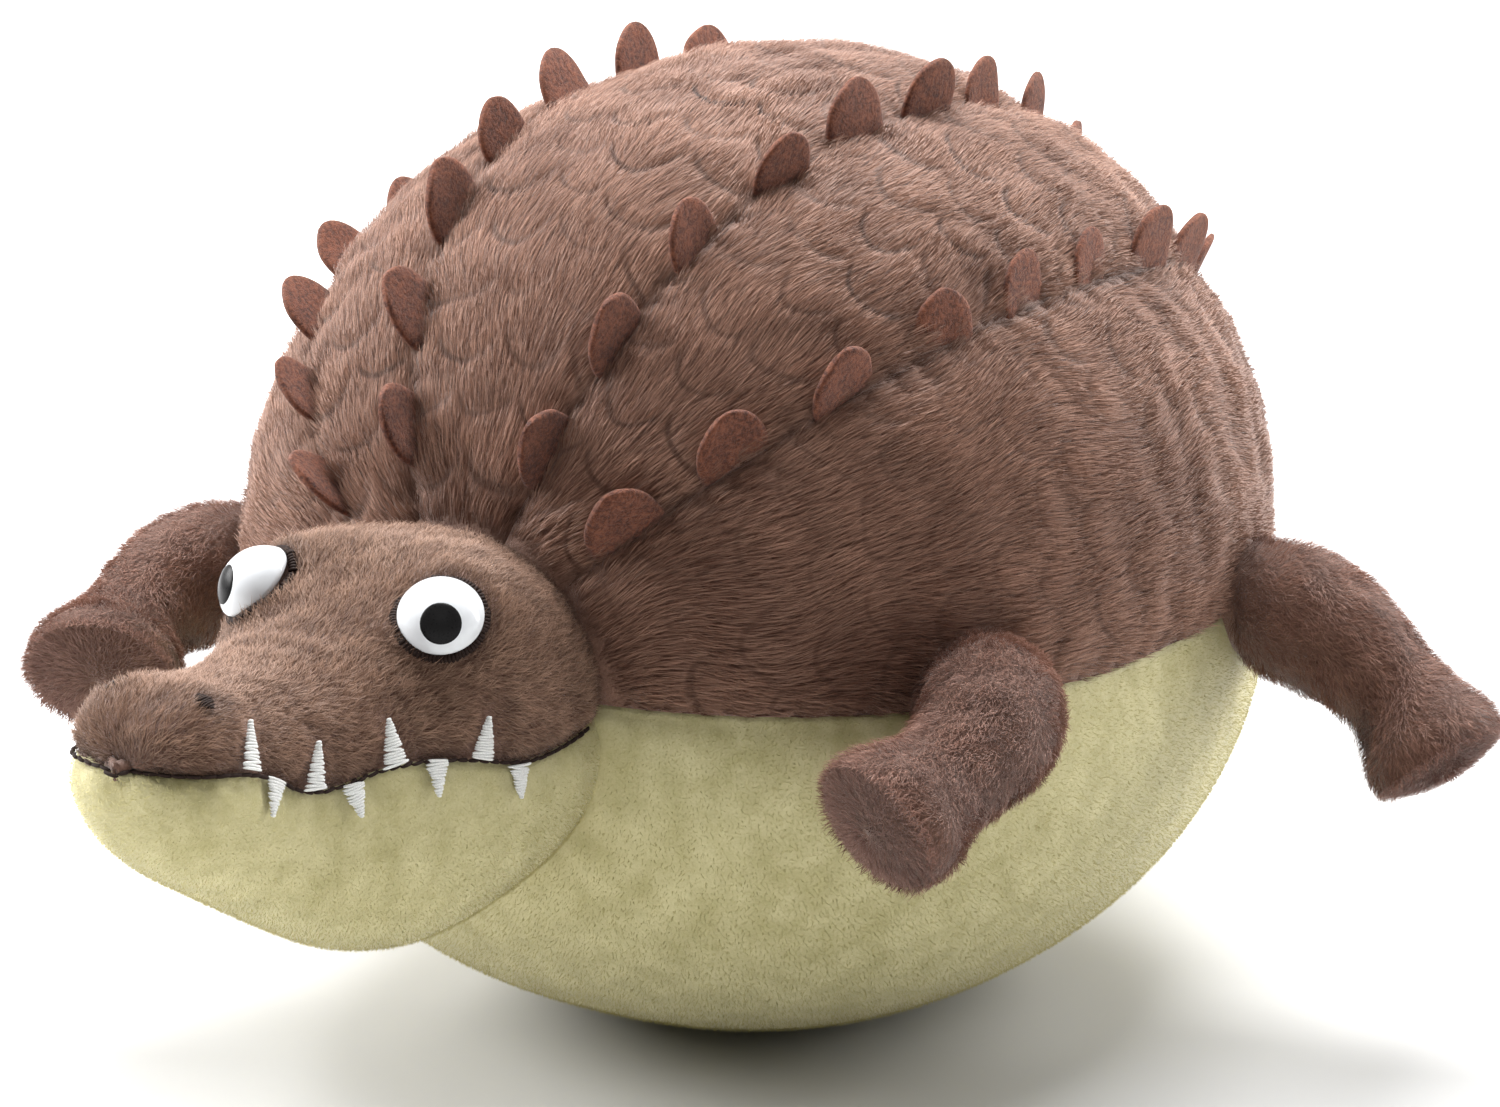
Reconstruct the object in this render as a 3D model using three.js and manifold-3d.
// A plump plush crocodile. Six sewn gores cover a stuffed body, four strips of felt spikes are
// caught in the seams of its back, and a stuffed head, four legs and a short tail are sewn on.
// Millimetres, +Z up. The head faces -Y, the crocodile's left side is +X, it rests on z = 0.
import * as THREE from "three";
import { mergeVertices } from "three/addons/utils/BufferGeometryUtils.js";
import Module from "manifold-3d";

const wasm = await Module();
wasm.setup();

// Body
const bodyLength = 256;
const bodyWidth = 226;
const bodyHeight = 223;
const seamAxisHeight = 104; // all lengthwise seams converge on this level line
const restDepth = 0.5; // the belly is flattened by this much where it rests
const lengthFullness = 2.25; // 2 is an ellipse, more is blunter
const backFullness = 2.05;
const bellyFullness = 2.35;
const centreSeamAngle = 20; // degrees of roll from the top to each seam
const shoulderSeamAngle = 49;
const bellySeamAngle = 93;
const seamDip = 2; // a stuffed panel is drawn in this much at its seams

// Cloth, felt and the gaps between pieces
const furThickness = 4;
const velourThickness = 2;
const limbFurThickness = 3;
const feltThickness = 2;
const clearance = 0.3;
const overrun = 5; // cuts run past what they cut by this much

// Felt spikes
const spikeHeight = 12;
const spikeBase = 17;
const spikesPerRow = 11;
const feltHem = 1.6; // depth of felt caught in the seam
const firstSpikeAngle = 27; // degrees along the body from the head's end
const lastSpikeAngle = 159;

// Head, measured from the ring where it is sewn on
const neckRingRadius = 39;
const headPivotOut = 24; // the nod's centre lies this far in front of the body
const headDrop = 5; // below the seam axis
const headLength = 116;
const headRise = 13; // the snout's tip lies this much higher than the neck
const headHalfWidth = 41;
const headTop = 40;
const headDepth = 49;
const browHeight = 7;
const browLength = 13;
const nostrilHeight = 3.5;
const nostrilLength = 9;
const bumpTurn = 24; // degrees of turn over which a brow or nostril fades out
const mouthWave = 3;
const headOpeningRadius = 22;

// Eyes
const eyeDiameter = 18;
const eyeDomeHeight = 6;
const eyeRim = 1.2;
const shankDiameter = 5;
const shankLength = 14;
const washerDiameter = 14;
const washerThickness = 1.6;
const washerDepth = 9; // below the eye's flat back

// Legs
const legBallRadius = 18;
const legPivotOut = 11;
const legLength = 47;
const legRadius = 15.5;
const pawHalfWidth = 19.5;
const pawHalfHeight = 16.5;
const kneeOut = 9;
const kneeDrop = 6;
const soleThickness = 2.2;
const soleCrown = 1;
const legOpeningRadius = 7;

// Tail
const tailBallRadius = 30;
const tailPivotOut = 11;
const tailLength = 48;
const tailDroop = 11;
const tailOpeningRadius = 12;

// Pellet bag
const bagHalfWidth = 56;
const bagHalfLength = 50;
const bagHalfHeight = 26;
const bagBehindMiddle = 40;
const bagLift = 14; // the bag's middle above the floor

// How finely the forms are faceted
const lengthSteps = 14;
const rollSteps = { centre: 4, shoulder: 4, flank: 5, belly: 12 };
const headRoundSteps = 24;
const limbRoundSteps = 12;
const ballSteps = 3;
const seatSteps = { head: 28, tail: 20, leg: 16, bag: 16 };

// Rows of shares: how far along, then half width, height above and depth below the middle.
const headShares = [
  [0.0, 0.951, 0.97, 0.8],
  [0.09, 1.0, 1.0, 0.87],
  [0.2, 1.0, 0.95, 0.95],
  [0.31, 0.94, 0.81, 1.0],
  [0.42, 0.84, 0.65, 0.97],
  [0.55, 0.72, 0.53, 0.86],
  [0.68, 0.62, 0.46, 0.73],
  [0.8, 0.57, 0.43, 0.6],
  [0.89, 0.55, 0.41, 0.5],
  [0.95, 0.47, 0.34, 0.39],
  [0.985, 0.3, 0.22, 0.25],
  [1.0, 0.12, 0.08, 0.1],
];
const tailShares = [
  [0.16, 0.88, 0.88, 0.88],
  [0.36, 0.7, 0.7, 0.7],
  [0.58, 0.5, 0.52, 0.52],
  [0.78, 0.34, 0.36, 0.36],
  [0.92, 0.22, 0.23, 0.23],
  [1.0, 0.09, 0.1, 0.1],
];
// Where a leg's section goes from its round top to the oval paw: along, then share of each.
const legShares = [
  [0.2, 1.08, 0.0],
  [0.4, 0.98, 0.0],
  [0.62, 0.89, 0.15],
  [0.8, 0.93, 0.6],
  [0.92, 1.0, 1.0],
  [1.0, 0.96, 1.0],
];
// One spike from its front foot to its rear foot: along the seam, then out from it.
const spikeShares = [
  [-0.5, 0],
  [-0.44, 0.42],
  [-0.22, 0.84],
  [0.06, 1],
  [0.32, 0.86],
  [0.46, 0.44],
  [0.5, 0],
];
const mouthShares = [
  [0.0, 0.2],
  [0.2, -0.6],
  [0.45, 0.5],
  [0.7, -0.7],
  [0.88, 0.7],
  [1.0, 0.2],
];
const frontLeg = { along: 59, roll: 91, heading: new THREE.Vector3(-0.15, -0.93, -0.33) };
const rearLeg = { along: 108, roll: 92, heading: new THREE.Vector3(0.73, -0.03, -0.66) };
const browSeat = { along: 0.21, turn: 34 };
const eyeSeat = { along: 0.32, turn: 34 };
const nostrilSeat = { along: 0.86, turn: 27 };
const sectionFullness = 2.15;
const slopeStep = 1; // degrees, for directions taken from two nearby points

const up = new THREE.Vector3(0, 0, 1);
const forward = new THREE.Vector3(0, -1, 0);
const degrees = THREE.MathUtils.degToRad;
const lerp = THREE.MathUtils.lerp;

// Materials
function finish(color, roughness) {
  return new THREE.MeshStandardMaterial({ color, roughness, metalness: 0 });
}
const backFur = finish(0x77543f, 0.95);
const headFur = finish(0x654536, 0.95);
const velour = finish(0xc5c183, 0.85);
const felt = finish(0x6e3a26, 1);
const fibre = finish(0xe9e6dd, 1);
const soleFur = finish(0x8a6050, 0.95);
const eyePlastic = finish(0xf4f4f2, 0.15);
const washerPlastic = finish(0xd8d8d4, 0.5);
const bagCloth = finish(0xb8b4a8, 0.9);

// A closed geometry as a solid, and a solid as a geometry
function solid(geometry) {
  const bare = new THREE.BufferGeometry();
  bare.setAttribute("position", geometry.getAttribute("position").clone());
  if (geometry.index) bare.setIndex(geometry.index.clone());
  const merged = mergeVertices(bare);
  const corners = merged.index.array;
  const kept = [];
  for (let i = 0; i < corners.length; i += 3) {
    const [a, b, c] = corners.slice(i, i + 3);
    if (a !== b && b !== c && c !== a) kept.push(a, b, c);
  }
  return new wasm.Manifold(
    new wasm.Mesh({
      numProp: 3,
      vertProperties: merged.attributes.position.array,
      triVerts: new Uint32Array(kept),
    }),
  );
}

function geometryOf(made) {
  const mesh = made.getMesh();
  const geometry = new THREE.BufferGeometry();
  geometry.setAttribute("position", new THREE.BufferAttribute(mesh.vertProperties, 3));
  geometry.setIndex(new THREE.BufferAttribute(mesh.triVerts, 1));
  geometry.computeVertexNormals();
  return geometry;
}

function piece(name, made, material) {
  const mesh = new THREE.Mesh(geometryOf(made), material);
  mesh.name = name;
  return mesh;
}

function moved(made, place) {
  return made.translate([place.x, place.y, place.z]);
}

// A closed solid through loops of points, with caps that join the corners of a loop in threes
function loft(loops, cap) {
  const count = loops[0].length;
  const faces = [];
  for (let row = 0; row + 1 < loops.length; row++)
    for (let spot = 0; spot < count; spot++) {
      const a = row * count + spot;
      const b = row * count + ((spot + 1) % count);
      faces.push(a, b, b + count, a, b + count, a + count);
    }
  const last = (loops.length - 1) * count;
  for (const [a, b, c] of cap(count)) faces.push(c, b, a, last + a, last + b, last + c);
  const geometry = new THREE.BufferGeometry();
  const points = loops.flat().flatMap((point) => point.toArray());
  geometry.setAttribute("position", new THREE.Float32BufferAttribute(points, 3));
  geometry.setIndex(faces);
  return solid(geometry);
}

function fanCap(count) {
  return Array.from({ length: count - 2 }, (_, i) => [0, i + 1, i + 2]);
}

// For a loop that runs out along one skin and back along the other
function stripCap(count) {
  const threes = [];
  for (let spot = 0; spot + 1 < count / 2; spot++) {
    threes.push([spot, spot + 1, count - 2 - spot]);
    threes.push([spot, count - 2 - spot, count - 1 - spot]);
  }
  return threes;
}

function ball(radius, steps) {
  return solid(new THREE.SphereGeometry(radius, steps, steps / 2));
}

// A seat is faceted too, so it is widened until its flats clear the ball that turns in it.
function seat(radius, pivot, steps) {
  const flat = Math.cos(Math.PI / steps) ** 2;
  return moved(ball((radius + clearance) / flat, steps), pivot);
}

function box(from, to) {
  const size = to.clone().sub(from);
  const geometry = new THREE.BoxGeometry(size.x, size.y, size.z);
  return moved(solid(geometry), from.clone().add(to).multiplyScalar(1 / 2));
}

// A round bar along a direction, from one distance to another
function bar(radius, from, to, place, direction) {
  const geometry = new THREE.CylinderGeometry(radius, radius, to - from, limbRoundSteps);
  geometry.rotateX(Math.PI / 2).translate(0, 0, (from + to) / 2);
  geometry.applyQuaternion(new THREE.Quaternion().setFromUnitVectors(up, direction));
  return moved(solid(geometry), place);
}

// The body's surface
function blunt(a, b, fullness) {
  return Math.pow(Math.pow(Math.abs(a), fullness) + Math.pow(Math.abs(b), fullness), -1 / fullness);
}

function bodyPoint(along, roll, inset) {
  const upward = Math.cos(roll);
  const outward = Math.sin(roll);
  const back = upward > 0;
  const halfHeight = (back ? bodyHeight - seamAxisHeight : seamAxisHeight + restDepth) - inset;
  const halfWidth = bodyWidth / 2 - inset;
  const fullness = back ? backFullness : bellyFullness;
  const reach = blunt(outward / halfWidth, upward / halfHeight, fullness);
  const swell = blunt(Math.cos(along), Math.sin(along), lengthFullness);
  const radius = reach * swell * Math.sin(along);
  return new THREE.Vector3(
    radius * outward,
    -(bodyLength / 2 - inset) * swell * Math.cos(along),
    seamAxisHeight + radius * upward,
  );
}

function bodyNormal(along, roll) {
  const step = degrees(slopeStep);
  const here = bodyPoint(along, roll, 0);
  const lengthwise = bodyPoint(along + step, roll, 0).sub(here);
  const crosswise = bodyPoint(along, roll + step, 0).sub(here);
  return crosswise.cross(lengthwise).normalize();
}

// Stations along the body, dense enough to keep the chords short
const firstAlong = degrees(18);
const lastAlong = degrees(169);
function alongAt(step) {
  return lerp(firstAlong, lastAlong, step / lengthSteps);
}

// A gore from one seam to the next. Its edges stand back from the seam's plane.
function gore({ from, to, columns, thickness, edges }) {
  const loops = [];
  for (let step = 0; step <= lengthSteps; step++) {
    const outer = [];
    const inner = [];
    for (let column = 0; column <= columns; column++) {
      const across = column / columns;
      const roll = degrees(lerp(from, to, across));
      const dip = seamDip * Math.pow(2 * across - 1, 4) * (thickness / furThickness);
      const back = lerp(edges[0], -edges[1], across);
      const aside = new THREE.Vector3(Math.cos(roll), 0, -Math.sin(roll)).multiplyScalar(back);
      outer.push(bodyPoint(alongAt(step), roll, dip).add(aside));
      inner.unshift(bodyPoint(alongAt(step), roll, thickness).add(aside));
    }
    loops.push([...outer, ...inner]);
  }
  return loft(loops, stripCap);
}

// A core with the gores' own stations, so that its facets lie level with theirs
function core(backInset, bellyInset) {
  const stops = [
    [0, centreSeamAngle, rollSteps.centre / 2],
    [centreSeamAngle, shoulderSeamAngle, rollSteps.shoulder],
    [shoulderSeamAngle, bellySeamAngle, rollSteps.flank],
    [bellySeamAngle, 180, rollSteps.belly / 2],
  ];
  const rolls = [];
  for (const [from, to, columns] of stops)
    for (let column = 0; column < columns; column++) rolls.push(lerp(from, to, column / columns));
  const turns = [...rolls, 180, ...rolls.slice(1).reverse().map((roll) => 360 - roll)];
  const loops = [];
  for (let step = 0; step <= lengthSteps; step++)
    loops.push(
      turns.map((turn) => {
        const belly = turn > bellySeamAngle && turn < 360 - bellySeamAngle;
        return bodyPoint(alongAt(step), degrees(turn), belly ? bellyInset : backInset);
      }),
    );
  return loft(loops, fanCap);
}

// Where the head, the tail and the legs turn
const headPivot = new THREE.Vector3(0, -bodyLength / 2 - headPivotOut, seamAxisHeight - headDrop);
const tailPivot = new THREE.Vector3(0, bodyLength / 2 + tailPivotOut, seamAxisHeight - headDrop);
const neckBack = headPivotOut + neckSetback();
const headBallRadius = Math.hypot(neckRingRadius, neckBack);

// How far behind the body's front end the sewn neck ring lies
function neckSetback() {
  const share = neckRingRadius / (seamAxisHeight + (bodyWidth / 2 - seamAxisHeight) / 2);
  return (bodyLength / 2) * (1 - Math.pow(1 - Math.pow(share, lengthFullness), 1 / lengthFullness));
}

function legPivot({ along, roll }, side) {
  const angles = [degrees(along), degrees(roll)];
  const place = bodyPoint(...angles, 0).addScaledVector(bodyNormal(...angles), legPivotOut);
  place.x *= side;
  return place;
}

const legs = [];
for (const [end, seatOf] of [
  ["front", frontLeg],
  ["rear", rearLeg],
])
  for (const [hand, side] of [
    ["left", 1],
    ["right", -1],
  ])
    legs.push({ name: `${end}_${hand}`, side, seatOf, pivot: legPivot(seatOf, side) });

const seats = wasm.Manifold.union([
  seat(headBallRadius, headPivot, seatSteps.head),
  seat(tailBallRadius, tailPivot, seatSteps.tail),
  ...legs.map(({ pivot }) => seat(legBallRadius, pivot, seatSteps.leg)),
]);
const floor = box(
  new THREE.Vector3(-bodyWidth, -bodyLength, -bodyHeight),
  new THREE.Vector3(bodyWidth, bodyLength, 0),
);

// Body pieces
const slot = feltThickness / 2 + clearance;
const plainEdge = clearance / 2;
const gores = [
  {
    name: "centre_back_panel",
    from: -centreSeamAngle,
    to: centreSeamAngle,
    columns: rollSteps.centre,
    edges: [slot, slot],
  },
];
for (const [hand, side] of [
  ["left", 1],
  ["right", -1],
]) {
  const span = (near, far) => (side > 0 ? { from: near, to: far } : { from: -far, to: -near });
  const sides = (near, far) => (side > 0 ? [near, far] : [far, near]);
  gores.push({
    name: `${hand}_shoulder_panel`,
    ...span(centreSeamAngle, shoulderSeamAngle),
    columns: rollSteps.shoulder,
    edges: sides(slot, slot),
  });
  gores.push({
    name: `${hand}_flank_panel`,
    ...span(shoulderSeamAngle, bellySeamAngle),
    columns: rollSteps.flank,
    edges: sides(slot, plainEdge),
  });
}
const bellyGore = {
  from: bellySeamAngle,
  to: 360 - bellySeamAngle,
  columns: rollSteps.belly,
  thickness: velourThickness,
  edges: [plainEdge, plainEdge],
};

// A strip of felt lies in a seam's plane: a hem between the panels, and spikes that stand out.
function feltStrip(seamAngle) {
  const roll = degrees(seamAngle);
  const flat = (along, inset) => {
    const point = bodyPoint(along, roll, inset);
    const radius = Math.hypot(point.x, point.z - seamAxisHeight);
    return new THREE.Vector2(point.y, radius);
  };
  const edge = furThickness - feltHem;
  const outline = [];
  const stations = Array.from({ length: lengthSteps + 1 }, (_, step) => alongAt(step));
  const spikeRoom = spikeBase / bodyLength;
  const beforeSpikes = stations.filter((along) => along < degrees(firstSpikeAngle) - spikeRoom);
  for (const along of stations) outline.push(flat(along, furThickness));
  outline.push(flat(lastAlong, edge));
  for (let count = spikesPerRow - 1; count >= 0; count--) {
    const share = count / (spikesPerRow - 1);
    const along = degrees(lerp(firstSpikeAngle, lastSpikeAngle, share));
    const foot = flat(along, edge);
    const run = flat(along + degrees(slopeStep), edge).sub(foot).normalize();
    const out = new THREE.Vector2(-run.y, run.x);
    for (const [shift, rise] of [...spikeShares].reverse())
      outline.push(
        foot
          .clone()
          .addScaledVector(run, shift * spikeBase)
          .addScaledVector(out, rise * (spikeHeight + edge)),
      );
  }
  for (const along of beforeSpikes.reverse()) outline.push(flat(along, edge));
  const geometry = new THREE.ExtrudeGeometry(new THREE.Shape(outline), {
    depth: feltThickness,
    bevelEnabled: false,
  });
  const outward = new THREE.Vector3(Math.sin(roll), 0, Math.cos(roll));
  const lengthwise = new THREE.Vector3(0, 1, 0);
  const through = lengthwise.clone().cross(outward);
  geometry.translate(0, 0, -feltThickness / 2);
  geometry.applyMatrix4(new THREE.Matrix4().makeBasis(lengthwise, outward, through));
  return moved(solid(geometry), new THREE.Vector3(0, 0, seamAxisHeight));
}

function bodyPieces() {
  const group = new THREE.Group();
  for (const panel of gores) {
    const made = gore({ ...panel, thickness: furThickness }).subtract(seats);
    group.add(piece(panel.name, made, backFur));
  }
  group.add(piece("belly_panel", gore(bellyGore).subtract(seats).subtract(floor), velour));
  for (const [name, angle] of [
    ["left_inner_felt_strip", centreSeamAngle],
    ["right_inner_felt_strip", -centreSeamAngle],
    ["left_outer_felt_strip", shoulderSeamAngle],
    ["right_outer_felt_strip", -shoulderSeamAngle],
  ])
    group.add(piece(name, feltStrip(angle).subtract(seats), felt));
  const filling = core(furThickness + clearance, velourThickness + clearance).subtract(seats);
  const place = new THREE.Vector3(0, bagBehindMiddle, bagLift);
  const lens = (grow) =>
    moved(
      ball(1, seatSteps.bag).scale([bagHalfWidth + grow, bagHalfLength + grow, bagHalfHeight + grow]),
      place,
    );
  group.add(piece("body_stuffing", filling.subtract(lens(clearance)), fibre));
  group.add(piece("pellet_bag", filling.intersect(lens(0)), bagCloth));
  return group;
}

// An oval loop about a middle, which superellipse sections and swellings can shape
function oval({ middle, side, top, across, above, below, full = 2 }, count, swelling = () => 0) {
  const loop = [];
  for (let spot = 0; spot < count; spot++) {
    const turn = (spot / count) * 2 * Math.PI;
    const outward = Math.sin(turn);
    const upward = Math.cos(turn);
    const round = (value) => Math.sign(value) * Math.pow(Math.abs(value), 2 / full);
    const grown = swelling(turn);
    const sideways = round(outward) * across + grown * outward;
    const upwards = round(upward) * (upward > 0 ? above : below) + grown * upward;
    loop.push(middle.clone().addScaledVector(side, sideways).addScaledVector(top, upwards));
  }
  return loop;
}

// Loops over the hidden back of a ball, up to the ring where it meets its form
function ballLoops(radius, ringRadius, heading, inset, count) {
  const side = heading.clone().cross(up).normalize();
  const top = side.clone().cross(heading);
  const reach = Math.asin(ringRadius / radius);
  const loops = [];
  for (let step = 1; step <= ballSteps; step++) {
    const angle = (reach * step) / (ballSteps + 1);
    const size = (radius - inset) * Math.sin(angle);
    const middle = heading.clone().multiplyScalar(-(radius - inset) * Math.cos(angle));
    loops.push(oval({ middle, side, top, across: size, above: size, below: size }, count));
  }
  return loops;
}

// Head, with its origin at the nod's centre
const headSide = forward.clone().cross(up);
function headSwelling(share, turn) {
  const fromTop = Math.acos(Math.cos(turn));
  const bump = (where, height, length) => {
    const apart = ((share - where.along) * headLength) / length;
    const away = (fromTop - degrees(where.turn)) / degrees(bumpTurn);
    return height * Math.exp(-apart * apart - away * away);
  };
  return (
    bump(browSeat, browHeight, browLength) + bump(nostrilSeat, nostrilHeight, nostrilLength)
  );
}

function headLoop([share, across, above, below], inset, rimInset) {
  const distance = share * headLength - neckBack;
  const reach = distance > 0 ? headLength - neckBack : headBallRadius;
  const middle = forward.clone().multiplyScalar(distance * (1 - inset / reach));
  middle.z = headRise * share * share;
  const size = {
    across: across * headHalfWidth - inset,
    above: above * headTop - inset,
    below: below * headDepth - rimInset,
  };
  if (Math.min(size.across, size.above, size.below) <= inset / 4) return [];
  const section = { middle, side: headSide, top: up, full: sectionFullness, ...size };
  const loop = oval(section, headRoundSteps, (turn) => headSwelling(share, turn));
  if (distance > 0) return [loop];
  return [loop.map((point) => point.clampLength(0, headBallRadius - inset))];
}

function headForm(inset, jawInset) {
  const back = ballLoops(headBallRadius, neckRingRadius, forward, inset, headRoundSteps);
  return loft([...back, ...headShares.flatMap((row) => headLoop(row, inset, jawInset))], fanCap);
}

// Everything below the mouth line, shifted up or down by half a seam
function belowMouth(shift) {
  const from = neckBack;
  const line = mouthShares.map(
    ([share, wave]) =>
      new THREE.Vector2(
        from - share * headLength,
        wave * mouthWave + headRise * share * share + shift,
      ),
  );
  const curve = new THREE.SplineCurve(line).getPoints(3 * mouthShares.length);
  const first = curve[0];
  const last = curve[curve.length - 1];
  const outline = [
    new THREE.Vector2(first.x + headBallRadius, first.y),
    ...curve,
    new THREE.Vector2(last.x - overrun, last.y),
    new THREE.Vector2(last.x - overrun, -2 * headDepth),
    new THREE.Vector2(first.x + headBallRadius, -2 * headDepth),
  ];
  const geometry = new THREE.ExtrudeGeometry(new THREE.Shape(outline), {
    depth: 4 * headHalfWidth,
    bevelEnabled: false,
  });
  geometry.translate(0, 0, -2 * headHalfWidth);
  const across = new THREE.Vector3(1, 0, 0);
  const lengthwise = new THREE.Vector3(0, 1, 0);
  geometry.applyMatrix4(new THREE.Matrix4().makeBasis(lengthwise, up, across));
  return solid(geometry);
}

// The row of shares at a place along the head, between the rows of its table
function headRow(share) {
  const next = headShares.findIndex((row) => row[0] >= share);
  const [low, high] = [headShares[next - 1], headShares[next]];
  const part = (share - low[0]) / (high[0] - low[0]);
  return low.map((value, i) => lerp(value, high[i], part));
}

function headPoint(share, turn) {
  const [, across, above] = headRow(share);
  const round = (value) => Math.pow(value, 2 / sectionFullness);
  const grown = headSwelling(share, turn);
  return new THREE.Vector3(
    round(Math.sin(turn)) * across * headHalfWidth + grown * Math.sin(turn),
    neckBack - share * headLength,
    round(Math.cos(turn)) * above * headTop + grown * Math.cos(turn) + headRise * share * share,
  );
}

function eyePlace(side) {
  const turn = degrees(eyeSeat.turn);
  const reach = eyeDiameter / 2 / headLength; // the cloth's slope is taken across the eye's width
  const place = headPoint(eyeSeat.along, turn);
  const lengthwise = headPoint(eyeSeat.along + reach, turn).sub(headPoint(eyeSeat.along - reach, turn));
  const aside = Math.asin(eyeDiameter / 2 / headTop);
  const crosswise = headPoint(eyeSeat.along, turn + aside).sub(headPoint(eyeSeat.along, turn - aside));
  const direction = lengthwise.cross(crosswise).normalize();
  place.x *= side;
  direction.x *= side;
  return { place, direction };
}

function eye() {
  const radius = eyeDiameter / 2;
  const domeRadius = (radius * radius + eyeDomeHeight * eyeDomeHeight) / (2 * eyeDomeHeight);
  const opening = Math.asin(radius / domeRadius);
  const lift = clearance + eyeRim + eyeDomeHeight - domeRadius;
  const outline = [new THREE.Vector2(0, clearance - shankLength)];
  outline.push(new THREE.Vector2(shankDiameter / 2, clearance - shankLength));
  outline.push(new THREE.Vector2(shankDiameter / 2, clearance));
  outline.push(new THREE.Vector2(radius, clearance));
  const arc = new THREE.EllipseCurve(0, lift, domeRadius, domeRadius, Math.PI / 2 - opening, Math.PI / 2);
  outline.push(...arc.getPoints(ballSteps + 1));
  outline[outline.length - 1].x = 0;
  return solid(new THREE.LatheGeometry(outline, seatSteps.leg).rotateX(Math.PI / 2));
}

function washer() {
  const hole = shankDiameter / 2 + clearance;
  const rim = washerDiameter / 2;
  const outline = [
    new THREE.Vector2(hole, -washerDepth - washerThickness),
    new THREE.Vector2(rim, -washerDepth - washerThickness),
    new THREE.Vector2(rim, -washerDepth),
    new THREE.Vector2(hole, -washerDepth),
    new THREE.Vector2(hole, -washerDepth - washerThickness),
  ];
  return solid(new THREE.LatheGeometry(outline, limbRoundSteps).rotateX(Math.PI / 2));
}

function headPieces() {
  const group = new THREE.Group();
  group.position.copy(headPivot);
  let skin = headForm(0, 0).subtract(headForm(furThickness, velourThickness));
  const back = forward.clone().negate();
  skin = skin.subtract(
    bar(headOpeningRadius, 0, headBallRadius + overrun, new THREE.Vector3(), back),
  );
  let filling = headForm(furThickness + clearance, velourThickness + clearance);
  for (const [hand, side] of [
    ["left", 1],
    ["right", -1],
  ]) {
    const { place, direction } = eyePlace(side);
    const hole = shankDiameter / 2 + clearance;
    const tip = shankLength + clearance;
    skin = skin.subtract(bar(hole, -tip, overrun, place, direction));
    skin = skin.subtract(bar(eyeDiameter / 2 + clearance, 0, overrun, place, direction));
    filling = filling.subtract(bar(hole, -tip, overrun, place, direction));
    const pocket = washerDepth + washerThickness + clearance;
    const pocketRadius = washerDiameter / 2 + clearance;
    filling = filling.subtract(bar(pocketRadius, -pocket, overrun, place, direction));
    const socket = new THREE.Group();
    socket.position.copy(place);
    socket.quaternion.setFromUnitVectors(up, direction);
    socket.add(piece(`${hand}_eye`, eye(), eyePlastic));
    socket.add(piece(`${hand}_eye_washer`, washer(), washerPlastic));
    group.add(socket);
  }
  group.add(piece("upper_head_skin", skin.subtract(belowMouth(plainEdge)), headFur));
  group.add(piece("jaw_skin", skin.intersect(belowMouth(-plainEdge)), velour));
  group.add(piece("head_stuffing", filling, fibre));
  return group;
}

// A limb runs from its pivot along a bent path. Its sections face along the path.
function limbSection(path, distance) {
  const length = path.getLength();
  const share = Math.min(distance / length, 1);
  const heading = path.getTangentAt(share).normalize();
  const middle = path.getPointAt(share).addScaledVector(heading, Math.max(distance - length, 0));
  const side = heading.clone().cross(up).normalize();
  return { middle, side, top: side.clone().cross(heading) };
}

function limbForm({ path, ballRadius, rows, inset, end }) {
  const heading = path.getTangentAt(0).normalize();
  const loops = ballLoops(ballRadius, ballRadius, heading, inset, limbRoundSteps);
  const size = ballRadius - inset;
  const round = { across: size, above: size, below: size };
  loops.push(oval({ ...limbSection(path, 0), ...round }, limbRoundSteps));
  for (const { distance, across, above, below } of rows) {
    const section = limbSection(path, Math.min(distance, end));
    const sizes = { across: across - inset, above: above - inset, below: below - inset };
    if (Math.min(...Object.values(sizes)) > inset / 4)
      loops.push(oval({ ...section, ...sizes }, limbRoundSteps));
  }
  return loft(loops, fanCap);
}

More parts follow.
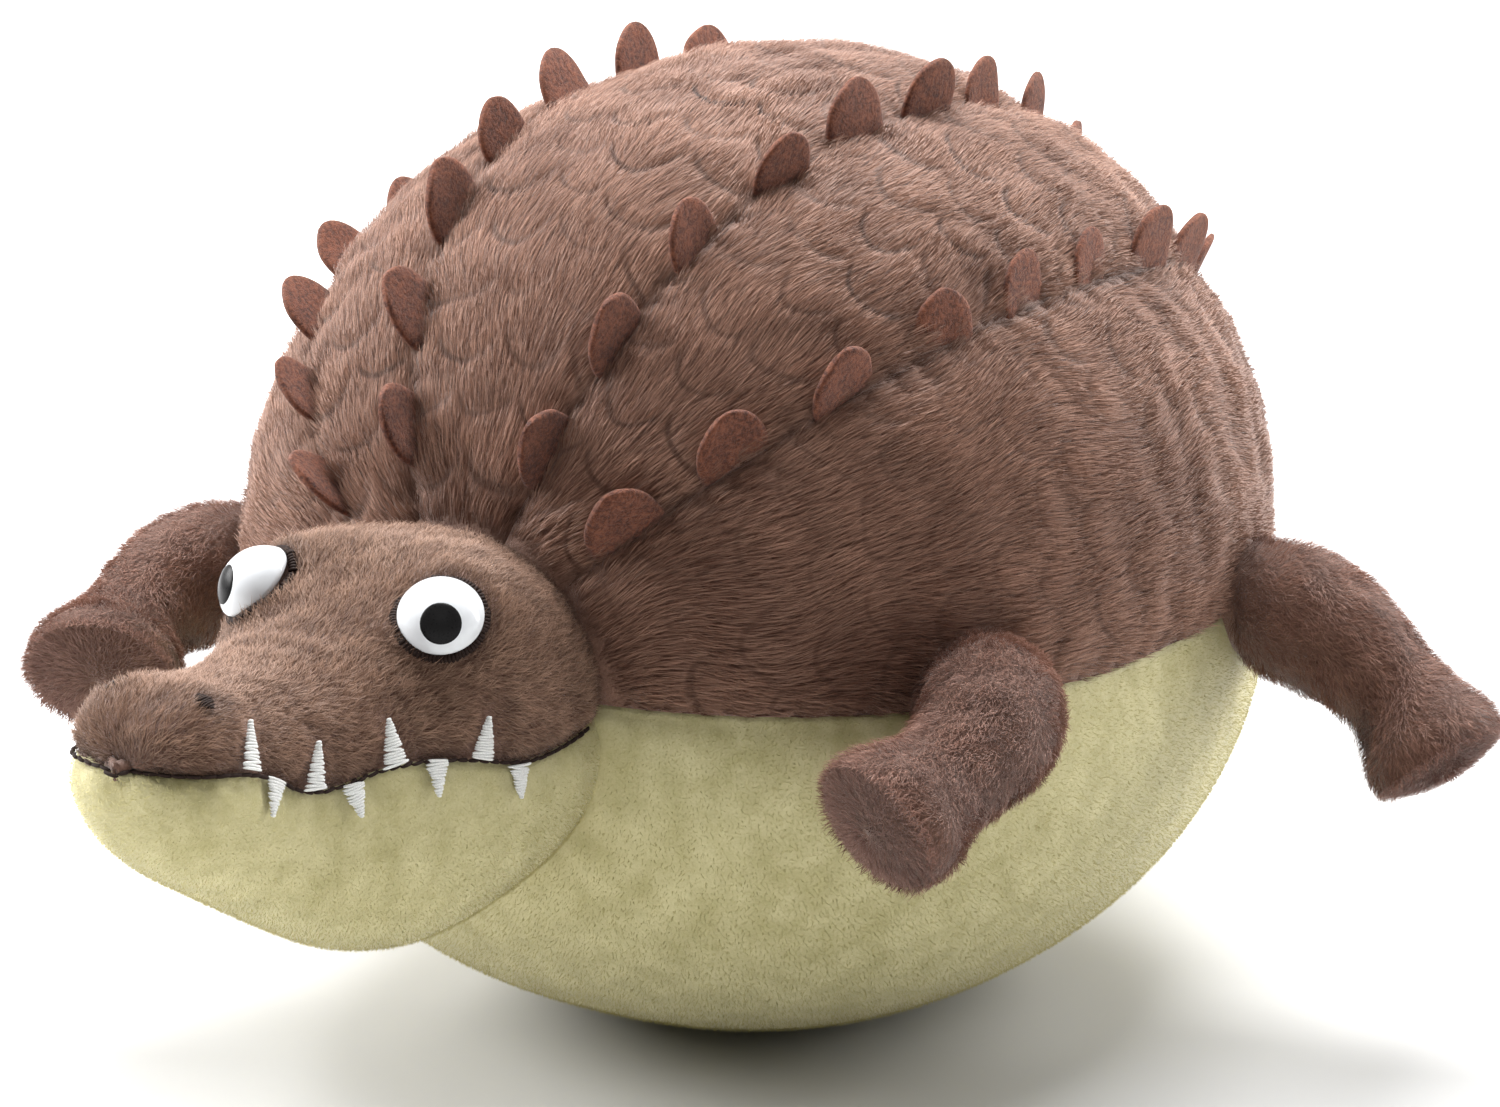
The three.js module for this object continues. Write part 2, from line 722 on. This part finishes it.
function legPieces({ name, side, seatOf, pivot }) {
  const heading = seatOf.heading.clone().normalize();
  const normal = bodyNormal(degrees(seatOf.along), degrees(seatOf.roll));
  const knee = normal.multiplyScalar(kneeOut).addScaledVector(heading, legLength / 3);
  knee.z -= kneeDrop;
  const foot = heading.multiplyScalar(legLength);
  for (const point of [knee, foot]) point.x *= side;
  const path = new THREE.QuadraticBezierCurve3(new THREE.Vector3(), knee, foot);
  const length = path.getLength();
  const rows = legShares.map(([along, size, paw]) => ({
    distance: along * length,
    across: size * lerp(legRadius, pawHalfWidth, paw),
    above: size * lerp(legRadius, pawHalfHeight, paw),
    below: size * lerp(legRadius, pawHalfHeight, paw),
  }));
  const limb = { path, ballRadius: legBallRadius, rows };
  const past = [...rows, { ...rows[rows.length - 1], distance: length + overrun }];
  const opening = path.getTangentAt(0).negate();
  const skin = limbForm({ ...limb, inset: 0, end: length })
    .subtract(limbForm({ ...limb, rows: past, inset: limbFurThickness, end: length + overrun }))
    .subtract(bar(legOpeningRadius, 0, legBallRadius + overrun, new THREE.Vector3(), opening));
  const fillEnd = length - soleThickness - clearance;
  const inset = limbFurThickness + clearance;
  const filling = limbForm({ ...limb, inset, end: fillEnd });
  const rim = rows[rows.length - 1];
  const soleLoops = [
    [length - soleThickness, 0],
    [length, 0],
    [length + soleCrown, limbFurThickness],
  ].map(([distance, drawnIn]) =>
    oval(
      {
        ...limbSection(path, distance),
        across: rim.across - inset - drawnIn,
        above: rim.above - inset - drawnIn,
        below: rim.below - inset - drawnIn,
      },
      limbRoundSteps,
    ),
  );
  const group = new THREE.Group();
  group.position.copy(pivot);
  group.add(piece(`${name}_leg_skin`, skin, headFur));
  group.add(piece(`${name}_leg_stuffing`, filling, fibre));
  group.add(piece(`${name}_paw_sole`, loft(soleLoops, fanCap), soleFur));
  return group;
}

function tailPieces() {
  const rise = new THREE.Vector3(0, tailLength / 2, 0);
  const tip = new THREE.Vector3(0, tailLength, -tailDroop);
  const path = new THREE.QuadraticBezierCurve3(new THREE.Vector3(), rise, tip);
  const length = path.getLength();
  const rows = tailShares.map(([along, across, above, below]) => ({
    distance: along * length,
    across: across * tailBallRadius,
    above: above * tailBallRadius,
    below: below * tailBallRadius,
  }));
  const limb = { path, ballRadius: tailBallRadius, rows };
  const opening = path.getTangentAt(0).negate();
  const skin = limbForm({ ...limb, inset: 0, end: length })
    .subtract(limbForm({ ...limb, inset: limbFurThickness, end: length - limbFurThickness }))
    .subtract(bar(tailOpeningRadius, 0, tailBallRadius + overrun, new THREE.Vector3(), opening));
  const inset = limbFurThickness + clearance;
  const filling = limbForm({ ...limb, inset, end: length - inset });
  const reach = tailBallRadius + tailLength;
  const under = (level) =>
    box(new THREE.Vector3(-reach, -reach, -reach), new THREE.Vector3(reach, reach, level));
  const group = new THREE.Group();
  group.position.copy(tailPivot);
  group.add(piece("tail_upper_skin", skin.subtract(under(plainEdge)), backFur));
  group.add(piece("tail_underside", skin.intersect(under(-plainEdge)), velour));
  group.add(piece("tail_stuffing", filling, fibre));
  return group;
}

const crocodile = new THREE.Group();
crocodile.add(bodyPieces(), headPieces(), tailPieces(), ...legs.map(legPieces));

export default crocodile;
